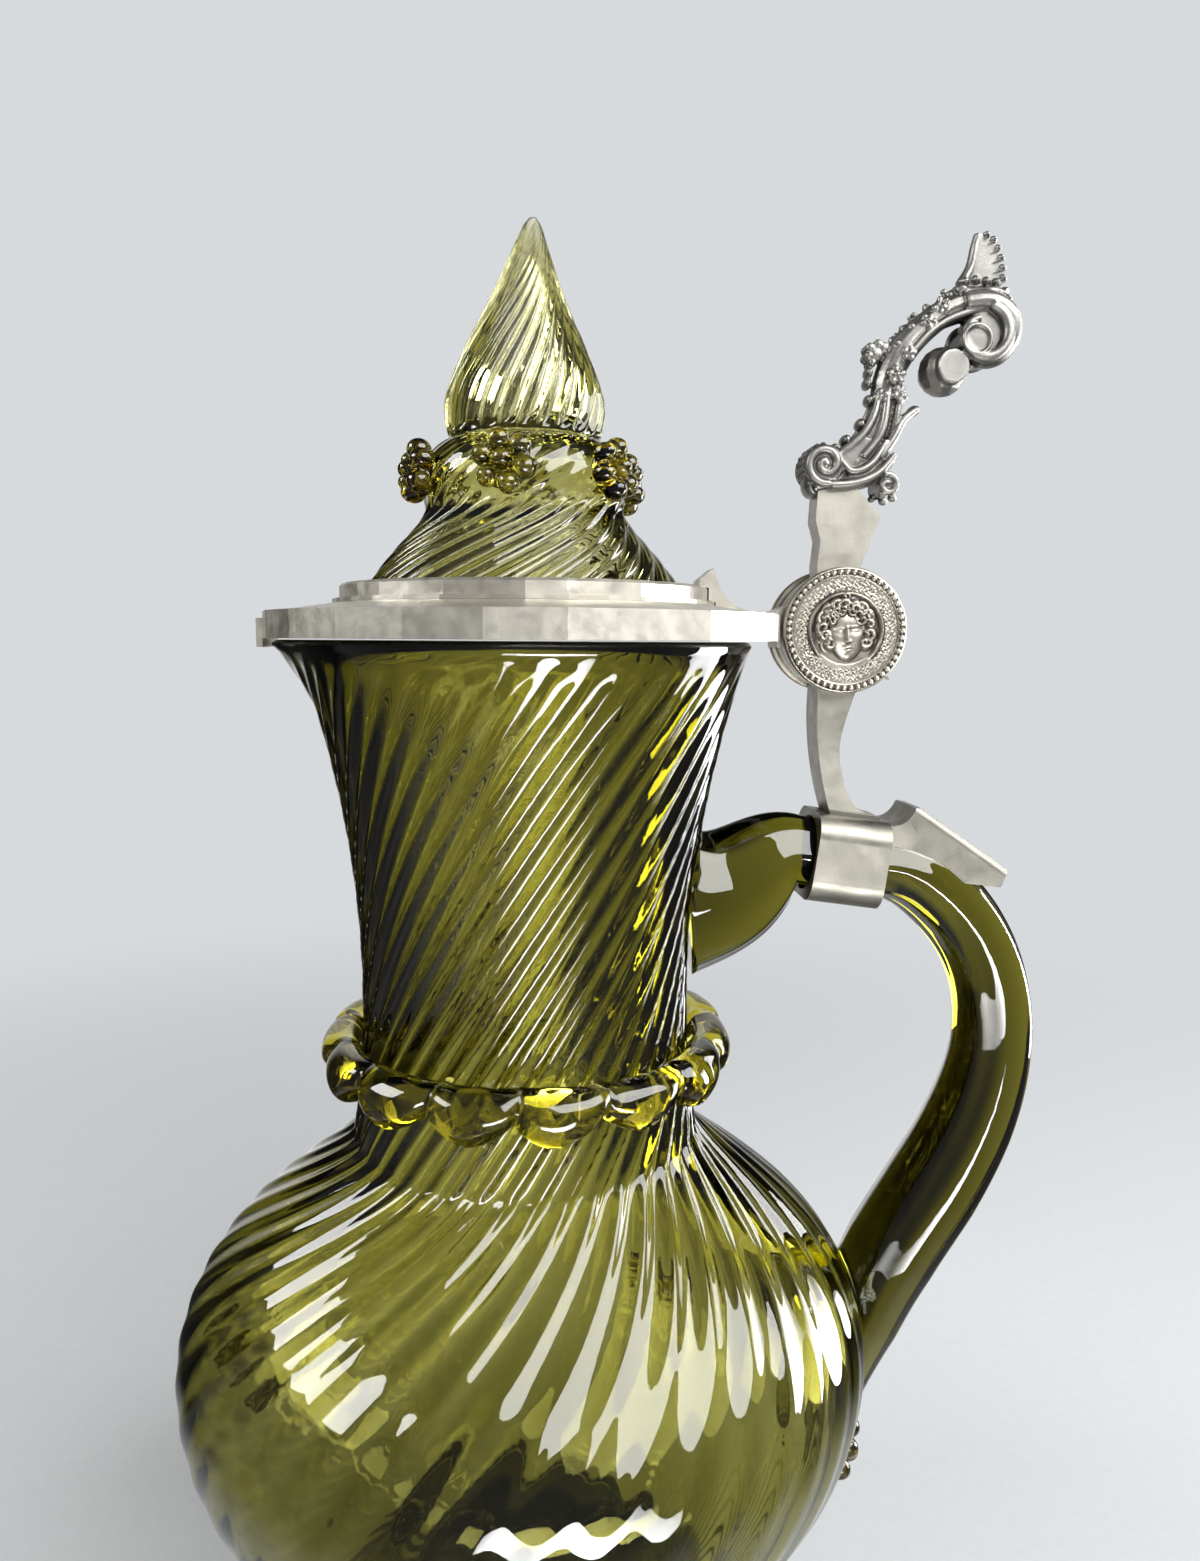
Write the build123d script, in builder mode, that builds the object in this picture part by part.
from build123d import *
import math
import os

# Blown glass wine jug with twisted ribs and a hinged pewter lid mount.
# Millimetres, +Z up. The origin is on the jug's axis where the foot rests, the spout points along -X,
# and the handle and the lid hinge are on the +X side. Heights below are measured from the rim,
# up is positive, unless their name says otherwise.

RIM_HEIGHT = 236.0  # rim above the table

# Glass body
RIM_RADIUS = 45.4
NECK_RADIUS = 33.6
NECK_DEPTH = 70.0  # rim down to the narrowest place of the neck
SHOULDER_RADIUS = 36.0
SHOULDER_DEPTH = 101.0
BELLY_RADIUS = 71.5
BELLY_DEPTH = 139.5
LOWER_RADIUS = 65.7
LOWER_DEPTH = 166.6  # also the height of the ring of lower prunts
BASE_RADIUS = 27.0
BODY_DEPTH = 204.0
GLASS_WALL = 2.6
BASE_THICKNESS = 4.0
RIB_COUNT = 40
RIB_DEPTH = 1.0
RIB_SLOPE = 57.0  # degrees between a rib and the horizontal
RIB_FADE_START = 9.0  # the ribs are wiped smooth from here up to the rim
RIB_FADE_END = 23.0
NECK_STEPS = 6
BELLY_STEPS = 10
INSIDE_SIDES = 26
SPOUT_REACH = 4.9
SPOUT_DEPTH = 13.0
SPOUT_SPREAD = 13.0  # degrees each side
SPOUT_ANGLE = 180.0

# Spreading foot
FOOT_RADIUS = 50.5
FOOT_EDGE = 2.6
FOOT_WALL = 4.2
FOOT_RING_WIDTH = 6.0
FOOT_SIDES = 36

# Applied glass: crimped neck trail, prunts, handle
FUSE_GAP = 0.06  # applied glass over the crests of the ribs
TRAIL_DEPTH = 83.0
TRAIL_TUBE = 3.9
TRAIL_WAVES = 15
TRAIL_SWING = 2.6
TRAIL_SIDES = 7
PRUNT_COUNT = 6
PRUNT_LOBES = 6
BODY_PRUNT_RADIUS = 7.0
BODY_PRUNT_ANGLE = -14.0
LID_PRUNT_RADIUS = 6.1
LID_PRUNT_ANGLE = -44.0
HANDLE_LOBES = 8
HANDLE_ROOT_STEPS = 4
HANDLE_BOW_STEPS = 17
HANDLE_FLUTE = 0.06  # share of the radius lost between two lobes
HANDLE_FIRST = 2  # the straight run under the clasp is between these two stations
HANDLE_LAST = 4
# x, height, half thickness, half width of the handle rod from the neck round to its tail on the belly
HANDLE_STATIONS = [
    (27.0, -54.0, 18.5, 12.5),
    (43.0, -50.2, 13.2, 9.8),
    (56.3, -43.2, 7.6, 8.2),
    (65.8, -44.5, 7.6, 8.2),
    (75.3, -45.8, 7.6, 8.2),
    (86.4, -51.6, 8.0, 8.3),
    (95.2, -62.0, 8.1, 8.3),
    (99.8, -74.0, 8.4, 8.5),
    (100.4, -87.5, 9.0, 9.0),
    (96.5, -103.0, 9.8, 9.6),
    (88.8, -118.5, 10.4, 10.2),
    (80.2, -133.0, 10.2, 10.4),
    (73.5, -147.5, 9.4, 9.6),
    (68.5, -162.0, 7.2, 7.8),
    (65.5, -174.5, 3.6, 4.6),
]

# Glass lid: a ribbed dome with its prunt band, and the flame finial
LID_RIB_COUNT = 26
LID_RIB_DEPTH = 0.8
DOME_SLOPE = 34.0
FINIAL_SLOPE = 62.0
LID_SEAT = 7.0  # height of the pewter ledge that carries the dome
DOME_RADIUS = 33.4
WAIST_RADIUS = 19.6
WAIST_HEIGHT = 26.0
BAND_RADIUS = 20.5
BAND_HEIGHT = 30.5
GROOVE_RADIUS = 14.9
GROOVE_HEIGHT = 42.2
FINIAL_RADIUS = 15.9
FINIAL_HEIGHT = 48.0
TIP_HEIGHT = 80.8
TIP_LEAN = 1.6
# share of the flame's rise and of its radius, from its widest place up to the tip
FLAME = [(0.17, 0.91), (0.34, 0.70), (0.50, 0.54), (0.67, 0.38), (0.84, 0.23), (1.0, 0.06)]
LID_GLASS_WALL = 2.4

# Pewter lid
LID_GAP = 0.25  # lid above the glass rim
LID_RADIUS = 50.8
LID_FACETS = 24
LID_BAND_TOP = 5.3
LID_METAL = 2.0
LIP_METAL = 1.2
LIP_DROP = 1.7  # the band's facet over the spout reaches down this far
COLLAR_RADIUS = 36.3
COLLAR_WALL = 1.9
COLLAR_STEP = 1.4
COLLAR_FACETS = 32
COLLAR_TOP = 10.7
SEAT_HOLE_RADIUS = 30.0
METAL_GAP = 0.05  # between soldered or bedded faces
SPUR_RISE = 3.9

# Hinge
HINGE_X = 63.3
HINGE_Z = 2.5
KNUCKLE_RADIUS = 11.6
FIXED_RING = 2.1
LID_RING = 2.1
RING_GAP = 0.15
PIN_RADIUS = 2.2
PIN_RUNNING_GAP = 0.06
PIN_PRESS_GAP = 0.02
SWEEP_GAP = 0.35  # moving metal past the other half's rings
CAP_RADIUS = 12.5
CAP_THICKNESS = 2.2
CAP_SOCKET = 1.4
CAP_RING_RADIUS = 6.7
CAP_RELIEF = 0.9
STRAP_WIDTH = 8.8
STOP_REACH = 15.2
STOP_ANGLE = -41

# Handle clasp and tongue
CLASP_WALL = 1.3
CLASP_LENGTH = 14.9
CLASP_GAP = 0.2
TONGUE_WIDTH = 13.0
TONGUE_RUN = 25.3
TONGUE_FALL = 10.0
TONGUE_THICKNESS = 3.6
TONGUE_HORN = 3.0
TONGUE_HORN_RUN = 5.2

# Thumb-lift casting
PLATE_WIDTH = 6.4


def at(height):
    return RIM_HEIGHT + height


def turned(radius, angle, height):
    a = math.radians(angle)
    return Vector(radius * math.cos(a), radius * math.sin(a), height)


def rib_turn(start, end, slope):
    # degrees that a rib turns between two outline points, (radius, height) each
    run = math.hypot(end[0] - start[0], end[1] - start[1])
    return math.degrees(run / (0.5 * (start[0] + end[0]) * math.tan(math.radians(slope))))


def skin(first, second):
    # flat three-cornered faces between two hoops of points
    faces = []
    for a, b, c, d in zip(first, first[1:] + first[:1], second[1:] + second[:1], second):
        faces.append(Face(Wire.make_polygon([a, b, c], close=True)))
        faces.append(Face(Wire.make_polygon([a, c, d], close=True)))
    return faces


def hooped_solid(hoops):
    # a closed solid through a row of hoops, all with the same number of points
    faces = [Face(Wire.make_polygon(hoop, close=True)) for hoop in (hoops[0], hoops[-1])]
    for first, second in zip(hoops, hoops[1:]):
        faces += skin(first, second)
    return Solid(Shell(faces))


def round_hoops(outline, sides):
    # hoops round the axis through the points (radius, height) of an outline
    return [[turned(r, 360 * k / sides, z) for k in range(sides)] for r, z in outline]


def spread(low, high, count):
    return [low + (high - low) * i / count for i in range(count + 1)]


# Outline of the body: a parabola down the neck, a short flare, then the belly
def neck_radius(depth):
    if depth < NECK_DEPTH:
        return NECK_RADIUS + (RIM_RADIUS - NECK_RADIUS) * (1 - depth / NECK_DEPTH) ** 2
    flare = (depth - NECK_DEPTH) / (SHOULDER_DEPTH - NECK_DEPTH)
    return NECK_RADIUS + (SHOULDER_RADIUS - NECK_RADIUS) * flare**2


with BuildLine(Plane.XZ) as belly:
    Spline(
        (SHOULDER_RADIUS, at(-SHOULDER_DEPTH)),
        (SHOULDER_RADIUS + 0.59 * (BELLY_RADIUS - SHOULDER_RADIUS),
         at(-SHOULDER_DEPTH - 0.455 * (BELLY_DEPTH - SHOULDER_DEPTH))),
        (BELLY_RADIUS, at(-BELLY_DEPTH)),
        (LOWER_RADIUS, at(-LOWER_DEPTH)),
        (BASE_RADIUS, at(-BODY_DEPTH)),
        tangents=((0.55, -1.0), (-0.75, -1.0)),
        tangent_scalars=(0.55, 0.55),
    )

body_outline = [(neck_radius(d), at(-d)) for d in spread(0, SHOULDER_DEPTH, NECK_STEPS)]
for share in spread(0, 1, BELLY_STEPS)[1:]:
    place = belly.line @ share
    body_outline.append((place.X, place.Z))


def spout_bulge(angle, height):
    above = max(0.0, 1 - (RIM_HEIGHT - height) / SPOUT_DEPTH)
    off = (angle - SPOUT_ANGLE + 180) % 360 - 180
    return SPOUT_REACH * above * math.exp(-((off / SPOUT_SPREAD) ** 2))


def rib_depth_at(radius, height):
    fade = (RIM_HEIGHT - height - RIB_FADE_START) / (RIB_FADE_END - RIB_FADE_START)
    return RIB_DEPTH * min(1.0, max(0.0, fade)) * min(1.0, radius / NECK_RADIUS)


def inset(outline, wall):
    # the outline moved in by wall, square to its own run
    moved = []
    for i, (r, z) in enumerate(outline):
        r0, z0 = outline[max(i - 1, 0)]
        r1, z1 = outline[min(i + 1, len(outline) - 1)]
        run = math.hypot(r1 - r0, z1 - z0)
        moved.append((r + wall * (z1 - z0) / run, z - wall * (r1 - r0) / run))
    return moved


body_stations = []
turn = 0.0
for i, (r, z) in enumerate(body_outline):
    if i:
        turn -= rib_turn(body_outline[i - 1], (r, z), RIB_SLOPE)
    hoop = []
    for k in range(2 * RIB_COUNT):
        angle = turn + k * 180 / RIB_COUNT
        valley = rib_depth_at(r, z) if k % 2 else 0.0
        hoop.append(turned(r - valley + spout_bulge(angle, z), angle, z))
    body_stations.append(hoop)

body_inside = inset(body_outline, GLASS_WALL + RIB_DEPTH)[1:-2]
body_floor = at(-BODY_DEPTH) + BASE_THICKNESS
cavity_outline = [(RIM_RADIUS - GLASS_WALL, RIM_HEIGHT + 2), (RIM_RADIUS - GLASS_WALL, RIM_HEIGHT)]
cavity_outline += body_inside
cavity_outline.append((0.45 * body_inside[-1][0], body_floor))
cavity = hooped_solid(round_hoops(cavity_outline, INSIDE_SIDES))

# the inside of the pulled lip
with BuildPart() as lip:
    with BuildSketch(Plane.XY.offset(RIM_HEIGHT + 0.5)):
        with Locations((-(RIM_RADIUS - GLASS_WALL - 2.0), 0)):
            Ellipse(SPOUT_REACH + 2.0, 8.5)
    with BuildSketch(Plane.XY.offset(at(-SPOUT_DEPTH))):
        with Locations((-(neck_radius(SPOUT_DEPTH) - GLASS_WALL - 4.0), 0)):
            Ellipse(2.0, 3.0)
    loft()

with BuildPart() as body:
    add(hooped_solid(body_stations))
    add(cavity, mode=Mode.SUBTRACT, clean=False)
    add(lip.part, mode=Mode.SUBTRACT, clean=False)
body.part.label = "glass_body"

# what applied glass is trimmed by: the outline over the rib crests
with BuildPart() as crests:
    with BuildSketch(Plane.XZ):
        with BuildLine():
            Polyline(
                *[(r + FUSE_GAP, z) for r, z in body_outline],
                (0, at(-BODY_DEPTH)),
                (0, RIM_HEIGHT),
                close=True,
            )
        make_face()
    revolve(axis=Axis.Z)

# Foot, blown as a hollow trumpet and welded under the body
foot_top = at(-BODY_DEPTH) - METAL_GAP
ring_inner = FOOT_RADIUS - FOOT_EDGE - FOOT_RING_WIDTH
foot_outline = [
    (FOOT_RADIUS - FOOT_EDGE, 0),
    (FOOT_RADIUS - 0.3 * FOOT_EDGE, 0.3 * FOOT_EDGE),
    (FOOT_RADIUS, FOOT_EDGE),
    (FOOT_RADIUS - 0.5 * FOOT_EDGE, 1.7 * FOOT_EDGE),
    (0.80 * FOOT_RADIUS, 0.24 * foot_top),
    (0.63 * FOOT_RADIUS, 0.37 * foot_top),
    (0.53 * FOOT_RADIUS, 0.53 * foot_top),
    (0.92 * BASE_RADIUS, 0.72 * foot_top),
    (0.93 * BASE_RADIUS, 0.88 * foot_top),
    (BASE_RADIUS, foot_top),
]
kick_outline = [
    (ring_inner + 1.5, -1),
    (ring_inner, 0),
    (0.80 * FOOT_RADIUS - FOOT_WALL, 0.24 * foot_top - 0.8 * FOOT_WALL),
    (0.60 * FOOT_RADIUS - FOOT_WALL, 0.37 * foot_top - 0.4 * FOOT_WALL),
    (0.44 * FOOT_RADIUS - FOOT_WALL, 0.52 * foot_top),
    (0.2 * BASE_RADIUS, 0.62 * foot_top),
]
with BuildPart() as foot:
    add(hooped_solid(round_hoops(foot_outline, FOOT_SIDES)))
    add(hooped_solid(round_hoops(kick_outline, FOOT_SIDES)), mode=Mode.SUBTRACT, clean=False)
foot.part.label = "glass_foot"

# Crimped trail round the foot of the neck: a cord with its inner side laid on the rib crests
trail_seat = max(neck_radius(TRAIL_DEPTH - TRAIL_SWING), neck_radius(TRAIL_DEPTH + TRAIL_SWING)) + FUSE_GAP
trail_hoops = []
TRAIL_STEPS = 4 * TRAIL_WAVES
for i in range(TRAIL_STEPS):
    around = 360 * i / TRAIL_STEPS
    wave = math.sin(math.radians(around * TRAIL_WAVES))
    swell = 1 + 0.12 * math.cos(math.radians(2 * around * TRAIL_WAVES))
    hoop = []
    for k in range(TRAIL_SIDES):
        a = 2 * math.pi * (k + 0.5) / TRAIL_SIDES
        out = trail_seat + TRAIL_TUBE * (math.cos(math.pi / TRAIL_SIDES) + swell * math.cos(a))
        up = at(-TRAIL_DEPTH) + TRAIL_SWING * wave + TRAIL_TUBE * swell * math.sin(a)
        hoop.append(turned(max(out, trail_seat), around, up))
    trail_hoops.append(hoop)
trail_faces = []
for first, second in zip(trail_hoops, trail_hoops[1:] + trail_hoops[:1]):
    trail_faces += skin(first, second)
with BuildPart() as trail:
    add(Solid(Shell(trail_faces)))
trail.part.label = "neck_trail"


# Raspberry prunts: a lobed button with a raised middle, pressed on a round or conical wall
def prunt(radius):
    height = 0.62 * radius
    hoops = []
    for level, size in ((-0.9, 0.86), (0.25, 1.0), (0.95, 0.55)):
        hoop = []
        for k in range(2 * PRUNT_LOBES):
            reach = radius * size * (0.78 if k % 2 else 1.0)
            hoop.append(turned(reach, 180 * k / PRUNT_LOBES, level * height))
        hoops.append(hoop)
    return hooped_solid(hoops)


def prunts(radius, wall_radius, height, tilt, first, trim):
    placed = []
    for k in range(PRUNT_COUNT):
        a = first + k * 360 / PRUNT_COUNT
        seat = Plane(
            origin=turned(wall_radius, a, height),
            x_dir=turned(1, a + 90, 0),
            z_dir=turned(math.cos(math.radians(tilt)), a, math.sin(math.radians(tilt))),
        )
        placed.append(seat.location * prunt(radius) - trim)
    return placed


def slope_of(outline, height):
    # radius and outward tilt of an outline at a height
    for ends in zip(outline, outline[1:]):
        (r0, z0), (r1, z1) = sorted(ends, key=lambda point: point[1])
        if z0 <= height <= z1:
            share = (height - z0) / (z1 - z0)
            return r0 + share * (r1 - r0), math.degrees(math.atan2(r0 - r1, z1 - z0))
    raise ValueError("height outside the outline")


def flats_over(outline, sides):
    # the outline over the crests of the ribs, as flats that stand on them
    grow = 1 / math.cos(math.pi / sides)
    return hooped_solid(round_hoops([((r + FUSE_GAP) * grow, z) for r, z in outline], sides))


ring_height = at(-LOWER_DEPTH)
body_wall, body_tilt = slope_of(body_outline, ring_height)
body_flats = flats_over(body_outline[NECK_STEPS:], 2 * INSIDE_SIDES)
body_buttons = prunts(BODY_PRUNT_RADIUS, body_wall, ring_height, body_tilt, BODY_PRUNT_ANGLE, body_flats)
with BuildPart() as body_prunts:
    add(body_buttons)
body_prunts.part.label = "body_prunts"


# Handle: a rod with lengthwise flutes, drawn from the neck down to a tail on the belly
def rod_plane(index):
    x, h, _, _ = HANDLE_STATIONS[index]
    before = HANDLE_STATIONS[max(index - 1, 0)]
    after = HANDLE_STATIONS[min(index + 1, len(HANDLE_STATIONS) - 1)]
    if HANDLE_FIRST <= index <= HANDLE_LAST:
        before, after = HANDLE_STATIONS[HANDLE_FIRST], HANDLE_STATIONS[HANDLE_LAST]
    along = Vector(after[0] - before[0], 0, after[1] - before[1])
    return Plane(origin=(x, 0, at(h)), x_dir=(0, 1, 0), z_dir=along)


# the stations set a smooth line for the rod's middle, and sections are taken along it
with BuildLine(Plane.XZ) as rod_line:
    run_start, run_end = HANDLE_STATIONS[HANDLE_FIRST], HANDLE_STATIONS[HANDLE_LAST]
    straight = (run_end[0] - run_start[0], run_end[1] - run_start[1])
    rod_points = [(x, at(h)) for x, h, _, _ in HANDLE_STATIONS]
    root = Spline(*rod_points[:HANDLE_FIRST + 1], tangents=((1, 0.2), straight))
    bow = Spline(*rod_points[HANDLE_LAST:], tangents=(straight, (-0.24, -1.0)))


def rod_size(x, z):
    # half thickness and half width at the nearest point of the run of stations
    best = None
    for (x0, h0, t0, w0), (x1, h1, t1, w1) in zip(HANDLE_STATIONS, HANDLE_STATIONS[1:]):
        run = (x1 - x0) ** 2 + (h1 - h0) ** 2
        share = min(1.0, max(0.0, ((x - x0) * (x1 - x0) + (z - at(h0)) * (h1 - h0)) / run))
        miss = math.hypot(x0 + share * (x1 - x0) - x, at(h0 + share * (h1 - h0)) - z)
        if best is None or miss < best[0]:
            best = (miss, t0 + share * (t1 - t0), w0 + share * (w1 - w0))
    return best[1], best[2]


def rod_hoop(line, share, grow=0.0):
    middle, along = line @ share, line % share
    thick, wide = rod_size(middle.X, middle.Z)
    up = Vector(-along.Z, 0, along.X)
    hoop = []
    for k in range(2 * HANDLE_LOBES):
        a = math.pi * k / HANDLE_LOBES
        keep = 1.0 - HANDLE_FLUTE if k % 2 else 1.0
        across = (keep * wide + grow) * math.cos(a)
        hoop.append(middle + Vector(0, across, 0) + up * ((keep * thick + grow) * math.sin(a)))
    return hoop


rod_hoops = [rod_hoop(root, share) for share in spread(0, 1, HANDLE_ROOT_STEPS)]
rod_hoops += [rod_hoop(bow, share) for share in spread(0, 1, HANDLE_BOW_STEPS)]
with BuildPart() as handle:
    add(hooped_solid(rod_hoops))
    add(crests.part, mode=Mode.SUBTRACT, clean=False)
handle.part.label = "glass_handle"

# Glass lid: a ribbed dome with its prunt band, and the flame finial set on it
dome_outline = [
    (DOME_RADIUS, at(LID_SEAT + METAL_GAP)),
    (0.955 * DOME_RADIUS, at(LID_SEAT + 0.11 * (WAIST_HEIGHT - LID_SEAT))),
    (0.83 * DOME_RADIUS, at(LID_SEAT + 0.42 * (WAIST_HEIGHT - LID_SEAT))),
    (0.70 * DOME_RADIUS, at(LID_SEAT + 0.66 * (WAIST_HEIGHT - LID_SEAT))),
    (WAIST_RADIUS, at(WAIST_HEIGHT)),
    (BAND_RADIUS, at(BAND_HEIGHT)),
    (0.93 * BAND_RADIUS, at(0.5 * (BAND_HEIGHT + GROOVE_HEIGHT))),
    (1.04 * GROOVE_RADIUS, at(GROOVE_HEIGHT - 1.6)),
    (0.97 * GROOVE_RADIUS, at(GROOVE_HEIGHT)),
]
finial_rise = TIP_HEIGHT - FINIAL_HEIGHT
finial_outline = [
    (GROOVE_RADIUS, at(GROOVE_HEIGHT + FUSE_GAP)),
    (FINIAL_RADIUS, at(FINIAL_HEIGHT)),
]
for share, radius in FLAME:
    finial_outline.append((radius * FINIAL_RADIUS, at(FINIAL_HEIGHT + share * finial_rise)))


def lid_hoops(outline, slope, first_turn):
    # the flame leans a little towards the handle as it rises
    stations = []
    turn = first_turn
    for i, (r, z) in enumerate(outline):
        if i:
            turn += rib_turn(outline[i - 1], (r, z), slope)
        depth = LID_RIB_DEPTH * min(1.0, r / FINIAL_RADIUS)
        rise = max(0.0, z - at(GROOVE_HEIGHT)) / (TIP_HEIGHT - GROOVE_HEIGHT)
        hoop = []
        for k in range(2 * LID_RIB_COUNT):
            point = turned(r - (depth if k % 2 else 0.0), turn + k * 180 / LID_RIB_COUNT, z)
            hoop.append(point + Vector(TIP_LEAN * rise**2, 0, 0))
        stations.append(hoop)
    return stations


def hollow(outline, floor, top):
    # the space inside a blown wall, from floor to top
    run = [(outline[0][0], floor), *outline, (0.3 * outline[-1][0], top)]
    return hooped_solid(round_hoops(run, INSIDE_SIDES - 8))


dome_inside = inset(dome_outline, -LID_GLASS_WALL - LID_RIB_DEPTH)[:7]
dome_space = hollow(dome_inside, at(LID_SEAT) - 5, at(GROOVE_HEIGHT - LID_GLASS_WALL))
with BuildPart() as lid_dome:
    add(hooped_solid(lid_hoops(dome_outline, DOME_SLOPE, 0.0)))
    add(dome_space, mode=Mode.SUBTRACT, clean=False)
lid_dome.part.label = "lid_dome"

finial_inside = inset(finial_outline, -LID_GLASS_WALL - LID_RIB_DEPTH)[1:5]
finial_space = hollow(finial_inside, at(GROOVE_HEIGHT + LID_GLASS_WALL), finial_inside[-1][1] + 5)
with BuildPart() as finial:
    add(hooped_solid(lid_hoops(finial_outline, FINIAL_SLOPE, 0.0)))
    add(finial_space, mode=Mode.SUBTRACT, clean=False)
finial.part.label = "lid_finial"

# what the prunts and the plaster are trimmed by, reaching a little below the dome
lid_crests = flats_over([(DOME_RADIUS, at(LID_SEAT) - 1)] + dome_outline, INSIDE_SIDES)

prunt_height = at(0.5 * (BAND_HEIGHT + GROOVE_HEIGHT) - 2.2)
lid_wall, lid_tilt = slope_of(dome_outline[5:8], prunt_height)
lid_buttons = prunts(LID_PRUNT_RADIUS, lid_wall, prunt_height, lid_tilt, LID_PRUNT_ANGLE, lid_crests)
with BuildPart() as lid_prunts:
    add(lid_buttons)
lid_prunts.part.label = "lid_prunts"

# Pewter lid rim: faceted band, flange sloping up to the ledge that carries the dome
flange_foot = COLLAR_RADIUS + COLLAR_STEP
lip_inner = RIM_RADIUS + SPOUT_REACH + 0.15
with BuildPart() as lid_rim:
    with BuildSketch(Plane.XZ):
        with BuildLine():
            Polyline(
                (LID_RADIUS + 1, at(LID_GAP)),
                (LID_RADIUS + 1, at(LID_BAND_TOP)),
                (LID_RADIUS - LID_METAL, at(LID_BAND_TOP)),
                (flange_foot, at(LID_SEAT)),
                (SEAT_HOLE_RADIUS, at(LID_SEAT)),
                (SEAT_HOLE_RADIUS, at(LID_SEAT - LID_METAL)),
                (flange_foot - LID_METAL, at(LID_SEAT - LID_METAL)),
                (RIM_RADIUS - GLASS_WALL, at(LID_GAP)),
                close=True,
            )
        make_face()
    revolve(axis=Axis.Z)
    with BuildSketch(Plane.XY.offset(at(LID_GAP) - 1)):
        RegularPolygon(LID_RADIUS, LID_FACETS, rotation=180 / LID_FACETS)
    extrude(amount=LID_SEAT + 2, mode=Mode.INTERSECT)
    # the band's drooping lip over the spout
    with BuildSketch(Plane.XZ):
        with BuildLine():
            Polyline(
                (-lip_inner - LIP_METAL, at(LID_BAND_TOP) - 1.2),
                (-lip_inner - LIP_METAL, at(LID_GAP - LIP_DROP)),
                (-lip_inner, at(LID_GAP - LIP_DROP)),
                (-lip_inner, at(LID_GAP)),
                (-(RIM_RADIUS + 2), at(LID_GAP)),
                (-(RIM_RADIUS + 2), at(LID_BAND_TOP) - 1.2),
                close=True,
            )
        make_face()
    extrude(amount=LID_RADIUS * math.tan(math.pi / LID_FACETS), both=True)
lid_rim.part.label = "lid_rim"

# Stepped collar soldered on the flange round the dome
collar_foot = at(LID_SEAT + METAL_GAP)
with BuildPart() as collar:
    for radius, low, high in (
        (COLLAR_RADIUS + COLLAR_STEP, collar_foot, at(LID_SEAT + 0.8)),
        (COLLAR_RADIUS, at(LID_SEAT + 0.8), at(COLLAR_TOP)),
    ):
        with BuildSketch(Plane.XY.offset(low)):
            RegularPolygon(radius, COLLAR_FACETS)
        extrude(amount=high - low)
    chamfer(collar.faces().sort_by(Axis.Z)[-1].edges(), 0.5)
    with BuildSketch(Plane.XY.offset(collar_foot)):
        RegularPolygon(COLLAR_RADIUS - COLLAR_WALL, COLLAR_FACETS)
    extrude(amount=COLLAR_TOP, mode=Mode.SUBTRACT)
collar.part.label = "lid_collar"

# Plaster that beds the dome in the collar
bed_out = COLLAR_RADIUS - COLLAR_WALL - METAL_GAP
with BuildPart() as bed:
    with BuildSketch(Plane.XY.offset(at(LID_SEAT + METAL_GAP))):
        RegularPolygon(bed_out, COLLAR_FACETS)
    extrude(amount=COLLAR_TOP - LID_SEAT - 0.9)
    add(lid_crests, mode=Mode.SUBTRACT)
bed.part.label = "lid_plaster_bed"

# Hinge: five rings on one pin, three fixed on the shank and two on the lid arm
ring_pitch = 0.5 * (FIXED_RING + LID_RING) + RING_GAP
FIXED_CENTRES = [-2 * ring_pitch, 0.0, 2 * ring_pitch]
LID_CENTRES = [-ring_pitch, ring_pitch]
barrel_half = 2 * ring_pitch + 0.5 * FIXED_RING
hinge_z = at(HINGE_Z)


def rings(centres, width, radius, bore=0.0):
    made = []
    for centre in centres:
        with BuildPart() as ring:
            with BuildSketch(Plane((HINGE_X, centre, hinge_z), x_dir=(1, 0, 0), z_dir=(0, -1, 0))):
                Circle(radius)
                if bore:
                    Circle(bore, mode=Mode.SUBTRACT)
            extrude(amount=width / 2, both=True)
        made.append(ring.part)
    return made


FRONT = Plane((HINGE_X, 0, hinge_z), x_dir=(1, 0, 0), z_dir=(0, -1, 0))

with BuildPart() as pin:
    with BuildSketch(FRONT):
        Circle(PIN_RADIUS)
    extrude(amount=barrel_half + CAP_SOCKET, both=True)
pin.part.label = "hinge_pin"


def oval(half_width, half_height, sides):
    # corners of a flat-sided oval
    corners = []
    for k in range(sides):
        a = 2 * math.pi * (k + 0.5) / sides
        corners.append((half_width * math.cos(a), half_height * math.sin(a)))
    return corners


# Round caps with a raised boss for the relief, one at each end of the barrel
def cap(side):
    face = Plane((HINGE_X, side * barrel_half, hinge_z), x_dir=(-side, 0, 0), z_dir=(0, side, 0))
    with BuildPart() as disc:
        with BuildSketch(face):
            Circle(CAP_RADIUS)
        extrude(amount=CAP_THICKNESS)
        chamfer(disc.edges().group_by(Axis.Y)[-1 if side > 0 else 0], 0.4)
        for share, size in ((0.0, 0.60), (1.0, 0.36)):
            with BuildSketch(face.offset(CAP_THICKNESS + share * CAP_RELIEF)):
                with BuildLine():
                    Polyline(*oval(0.76 * size * CAP_RING_RADIUS, size * CAP_RING_RADIUS, 14), close=True)
                make_face()
        loft(ruled=True)
        with BuildSketch(face):
            Circle(PIN_RADIUS + PIN_PRESS_GAP)
        extrude(amount=CAP_SOCKET, mode=Mode.SUBTRACT)
    return disc


front_cap = cap(-1)
front_cap.part.label = "hinge_cap_front"
rear_cap = cap(1)
rear_cap.part.label = "hinge_cap_rear"

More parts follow.
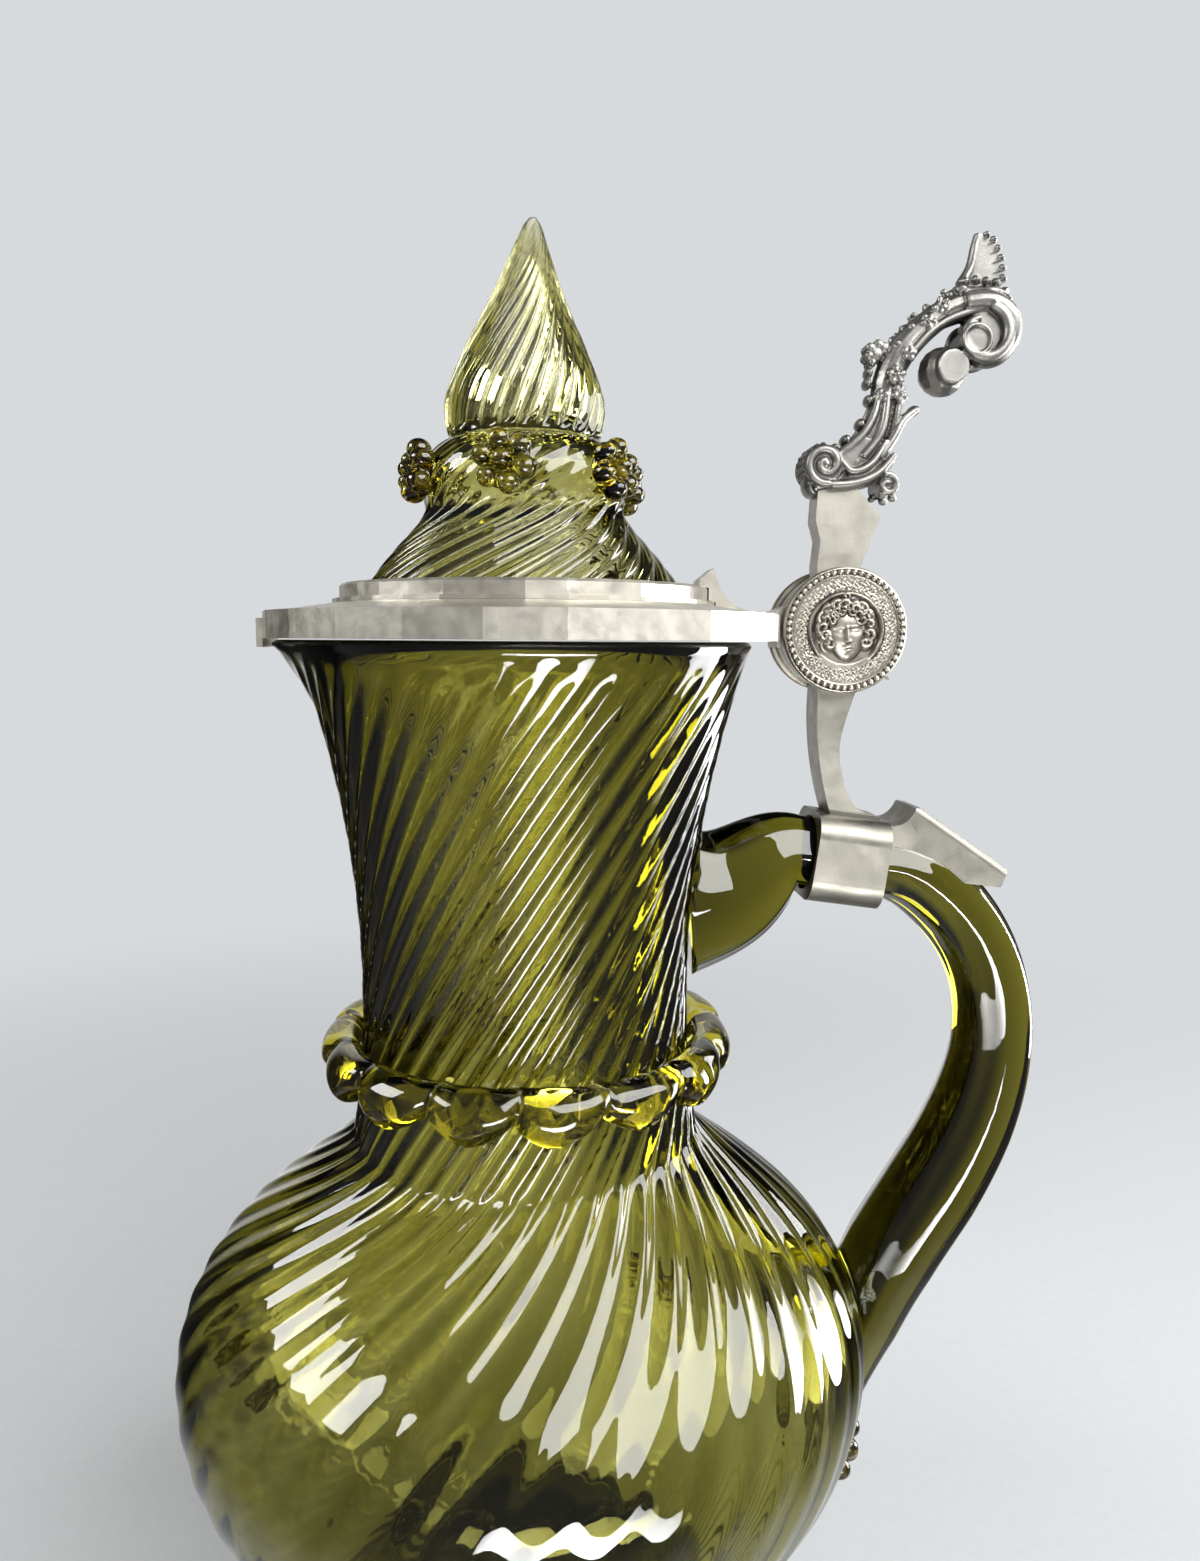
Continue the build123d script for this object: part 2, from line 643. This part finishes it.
# Handle clasp, bent round the straight run of the handle
CLASP_STATION = HANDLE_FIRST + 1
clasp_x, clasp_h, rod_thick, rod_wide = HANDLE_STATIONS[CLASP_STATION]
clasp_run = rod_plane(CLASP_STATION).z_dir
clasp_fall = clasp_run.Z / clasp_run.X
clasp_half_height = rod_thick + CLASP_GAP + CLASP_WALL
with BuildPart() as clasp:
    with BuildSketch(rod_plane(CLASP_STATION)):
        RectangleRounded(2 * (rod_wide + CLASP_GAP + CLASP_WALL), 2 * clasp_half_height, 0.62 * rod_thick)
        Ellipse(rod_wide + CLASP_GAP, rod_thick + CLASP_GAP, mode=Mode.SUBTRACT)
    extrude(amount=CLASP_LENGTH / 2, both=True)
clasp.part.label = "handle_clasp"


def clasp_roof(x):
    rise = (clasp_half_height + METAL_GAP) * math.hypot(1, clasp_fall)
    return at(clasp_h + rise + clasp_fall * (x - clasp_x))


# Shank: curved strap from the rings down to its foot on the clasp, with the stop that ends the lid's travel
fixed_rings = rings(FIXED_CENTRES, FIXED_RING, KNUCKLE_RADIUS)
lid_rings = rings(LID_CENTRES, LID_RING, KNUCKLE_RADIUS)
fixed_sweep = rings(FIXED_CENTRES, FIXED_RING + 2 * RING_GAP, KNUCKLE_RADIUS + SWEEP_GAP)
lid_sweep = rings(LID_CENTRES, LID_RING + 2 * RING_GAP, KNUCKLE_RADIUS + SWEEP_GAP)
strap_top = hinge_z - 0.7 * KNUCKLE_RADIUS
heel_x = HINGE_X - 1.0
toe_x = clasp_x + 0.5 * CLASP_LENGTH - 0.4
with BuildPart() as shank:
    with BuildSketch(Plane.XZ):
        with BuildLine():
            heel = (heel_x, clasp_roof(heel_x))
            outer = ThreePointArc((HINGE_X - 3.9, strap_top), (HINGE_X - 4.0, at(-20)), heel)
            Line(outer @ 1, (toe_x, clasp_roof(toe_x)))
            Line((toe_x, clasp_roof(toe_x)), (toe_x, clasp_roof(toe_x) + 0.6))
            inner = Spline(
                (toe_x, clasp_roof(toe_x) + 0.6),
                (HINGE_X + 4.3, clasp_roof(HINGE_X + 4.3) + 2.2),
                (HINGE_X + 1.1, at(-26)),
                (HINGE_X + 0.8, at(-19)),
                (HINGE_X + 2.9, at(-11.5)),
                (HINGE_X + 5.4, strap_top),
                tangents=((-1.0, 0.2), (0.45, 1.0)),
            )
            Line(inner @ 1, outer @ 0)
        make_face()
    extrude(amount=STRAP_WIDTH / 2, both=True)
    with BuildSketch(FRONT):
        with BuildLine():
            Polyline(
                turned(KNUCKLE_RADIUS - 2, STOP_ANGLE + 14, 0),
                turned(STOP_REACH, STOP_ANGLE, 0),
                turned(KNUCKLE_RADIUS - 2, STOP_ANGLE - 10, 0),
                close=True,
            )
        make_face()
    extrude(amount=FIXED_RING / 2, both=True)
    add(lid_sweep, mode=Mode.SUBTRACT)
    add(fixed_rings)
    with BuildSketch(FRONT):
        Circle(PIN_RADIUS + PIN_PRESS_GAP)
    extrude(amount=barrel_half + 1, both=True, mode=Mode.SUBTRACT)
shank.part.label = "shank"


# Tongue: a gutter with a horn, laid on the back of the handle beyond the clasp
def clasp_end(rise):
    # a point just beyond the clasp's lower end, at a height over the middle of the rod
    beyond = 0.5 * CLASP_LENGTH + METAL_GAP
    along = clasp_x + beyond * clasp_run.X - rise * clasp_run.Z
    return along, at(clasp_h + beyond * clasp_run.Z + rise * clasp_run.X)


tongue_x = clasp_end(clasp_half_height)[0]
rod_space = hooped_solid([rod_hoop(root, 0.9, CLASP_GAP)]
                         + [rod_hoop(bow, share, CLASP_GAP) for share in spread(0, 0.53, 9)])
with BuildPart() as tongue:
    with BuildSketch(Plane.XZ):
        with BuildLine():
            notch = Spline(
                clasp_end(clasp_half_height - 0.5),
                (tongue_x + 2.2, clasp_roof(tongue_x) - 0.3),
                (tongue_x + TONGUE_HORN_RUN, clasp_roof(tongue_x) + TONGUE_HORN),
            )
            Polyline(
                notch @ 1,
                (tongue_x + TONGUE_HORN_RUN + 1.6, clasp_roof(tongue_x) + TONGUE_HORN - 0.2),
                (tongue_x + TONGUE_RUN, clasp_roof(tongue_x) - TONGUE_FALL),
                (tongue_x + TONGUE_RUN - 1.6, clasp_roof(tongue_x) - TONGUE_FALL - TONGUE_THICKNESS),
                (tongue_x + 0.6 * TONGUE_RUN, clasp_roof(tongue_x) - 0.9 * TONGUE_FALL - TONGUE_THICKNESS),
                clasp_end(0.4 * rod_thick),
                notch @ 0,
            )
        make_face()
    extrude(amount=TONGUE_WIDTH / 2, both=True)
    add(rod_space, mode=Mode.SUBTRACT, clean=False)
    fillet(tongue.edges().filter_by(Axis.Y, reverse=True).group_by(SortBy.LENGTH)[-1], 1.6)
tongue.part.label = "clasp_tongue"

# Lid arm: flat bar from a spur on the collar, over the flange and band, to the two lid rings
band_flat = LID_RADIUS * math.cos(math.pi / LID_FACETS)
flange_top = COLLAR_RADIUS + COLLAR_STEP
with BuildPart() as arm:
    with BuildSketch(Plane.XZ):
        with BuildLine():
            spur = Polyline(
                (HINGE_X - 0.5, at(LID_GAP - 1.2)),
                (band_flat + METAL_GAP, at(LID_GAP - 1.2)),
                (band_flat + METAL_GAP, at(LID_BAND_TOP + METAL_GAP)),
                (LID_RADIUS - LID_METAL, at(LID_BAND_TOP + METAL_GAP)),
                (flange_top + METAL_GAP, at(LID_SEAT + METAL_GAP)),
                (flange_top + METAL_GAP, at(LID_SEAT + 0.8 + METAL_GAP)),
                (COLLAR_RADIUS + METAL_GAP, at(LID_SEAT + 0.8 + METAL_GAP)),
                (COLLAR_RADIUS + METAL_GAP, at(COLLAR_TOP + METAL_GAP)),
                (COLLAR_RADIUS - COLLAR_WALL, at(COLLAR_TOP + METAL_GAP)),
                (COLLAR_RADIUS - COLLAR_WALL + 0.2, at(COLLAR_TOP + 1.7)),
                (COLLAR_RADIUS + 1.0, at(COLLAR_TOP + SPUR_RISE)),
            )
            crest = Spline(
                spur @ 1,
                (COLLAR_RADIUS + 4.0, at(LID_SEAT + 1.3)),
                (0.5 * (COLLAR_RADIUS + LID_RADIUS) + 1.6, at(LID_SEAT - 0.9)),
                (HINGE_X - KNUCKLE_RADIUS + 1.2, at(LID_SEAT + 0.6)),
                tangents=((0.35, -1.0), (1.0, 0.5)),
            )
            Polyline(crest @ 1, (HINGE_X - 0.5, at(LID_SEAT + 0.6)), spur @ 0)
        make_face()
    extrude(amount=STRAP_WIDTH / 2, both=True)
    add(fixed_sweep, mode=Mode.SUBTRACT)
    add(lid_rings)
    with BuildSketch(FRONT):
        Circle(PIN_RADIUS + PIN_RUNNING_GAP)
    extrude(amount=barrel_half + 1, both=True, mode=Mode.SUBTRACT)
arm.part.label = "lid_arm"

# Thumb plate, waisted above the rings and cut to their curve
PLATE_OUTLINE = [(-5.2, 27.5), (-2.9, 28.0), (2.4, 28.5), (7.6, 22.5), (3.7, 12.2), (3.3, 6.0), (-4.6, 6.0),
                 (-4.9, 13.1), (-4.4, 17.9), (-5.5, 21.7)]
lid_ring_seats = rings(LID_CENTRES, LID_RING + 2 * RING_GAP, KNUCKLE_RADIUS + METAL_GAP)
with BuildPart() as plate:
    with BuildSketch(FRONT):
        with BuildLine():
            Polyline(*PLATE_OUTLINE, close=True)
        make_face()
    extrude(amount=PLATE_WIDTH / 2, both=True)
    add(fixed_sweep + lid_ring_seats, mode=Mode.SUBTRACT)
plate.part.label = "thumb_plate"

# Thumb-lift: scrolled foot, leaning stem, two rolled volutes under its head and a leaf at the tip,
# placed from the hinge pin
LIFT_STEM = [(2.0, 32.5, 4.6, 4.2), (6.6, 38.6, 3.9, 3.7), (8.7, 44.5, 3.8, 3.6), (9.4, 51.0, 4.3, 3.8),
             (13.6, 57.2, 4.4, 4.0), (19.0, 62.4, 4.0, 4.2), (25.0, 65.2, 4.2, 4.4), (30.4, 63.0, 3.6, 4.6)]
LIFT_ROLLS = [(-4.4, 32.4, 4.3, 4.9), (8.6, 28.7, 2.5, 4.7), (20.1, 51.3, 5.0, 4.8), (28.4, 58.2, 6.4, 5.4)]
LIFT_LEAF = [(22.9, 66.4), (25.0, 71.6), (25.8, 78.2), (29.4, 77.4), (31.6, 70.2), (32.8, 66.0), (28.0, 62.0)]
with BuildPart() as lift:
    for i, (x, h, thick, wide) in enumerate(LIFT_STEM):
        x0, h0 = LIFT_STEM[max(i - 1, 0)][:2]
        x1, h1 = LIFT_STEM[min(i + 1, len(LIFT_STEM) - 1)][:2]
        along = Vector(x1 - x0, 0, h1 - h0)
        with BuildSketch(Plane((HINGE_X + x, 0, hinge_z + h), x_dir=(0, 1, 0), z_dir=along)):
            with BuildLine():
                Polyline(*oval(wide, thick, 10), close=True)
            make_face()
    loft(ruled=True)
    for x, h, radius, half_width in LIFT_ROLLS:
        with BuildSketch(FRONT):
            with Locations((x, h)):
                RegularPolygon(radius, 22)
        extrude(amount=half_width, both=True)
    with BuildSketch(FRONT):
        with BuildLine():
            Polyline((-4.6, 29.2), (7.6, 29.2), (9.4, 31.0), (6.6, 36.5), (-3.0, 36.0), close=True)
        make_face()
    extrude(amount=4.4, both=True)
    with BuildSketch(FRONT):
        with BuildLine():
            Polyline(*LIFT_LEAF, close=True)
        make_face()
    extrude(amount=2.2, both=True)
    with BuildSketch(FRONT):
        with BuildLine():
            Polyline(*PLATE_OUTLINE, close=True)
        make_face()
        offset(amount=METAL_GAP, kind=Kind.INTERSECTION)
    extrude(amount=PLATE_WIDTH, both=True, mode=Mode.SUBTRACT)
lift.part.label = "thumb_lift"

os.makedirs("parts", exist_ok=True)
export_step(body.part, "parts/glass_body.step")
export_step(foot.part, "parts/glass_foot.step")
export_step(trail.part, "parts/neck_trail.step")
export_step(body_prunts.part, "parts/body_prunts.step")
export_step(handle.part, "parts/glass_handle.step")
export_step(lid_dome.part, "parts/lid_dome.step")
export_step(finial.part, "parts/lid_finial.step")
export_step(lid_prunts.part, "parts/lid_prunts.step")
export_step(lid_rim.part, "parts/lid_rim.step")
export_step(collar.part, "parts/lid_collar.step")
export_step(bed.part, "parts/lid_plaster_bed.step")
export_step(arm.part, "parts/lid_arm.step")
export_step(plate.part, "parts/thumb_plate.step")
export_step(lift.part, "parts/thumb_lift.step")
export_step(pin.part, "parts/hinge_pin.step")
export_step(front_cap.part, "parts/hinge_cap_front.step")
export_step(rear_cap.part, "parts/hinge_cap_rear.step")
export_step(shank.part, "parts/shank.step")
export_step(clasp.part, "parts/handle_clasp.step")
export_step(tongue.part, "parts/clasp_tongue.step")
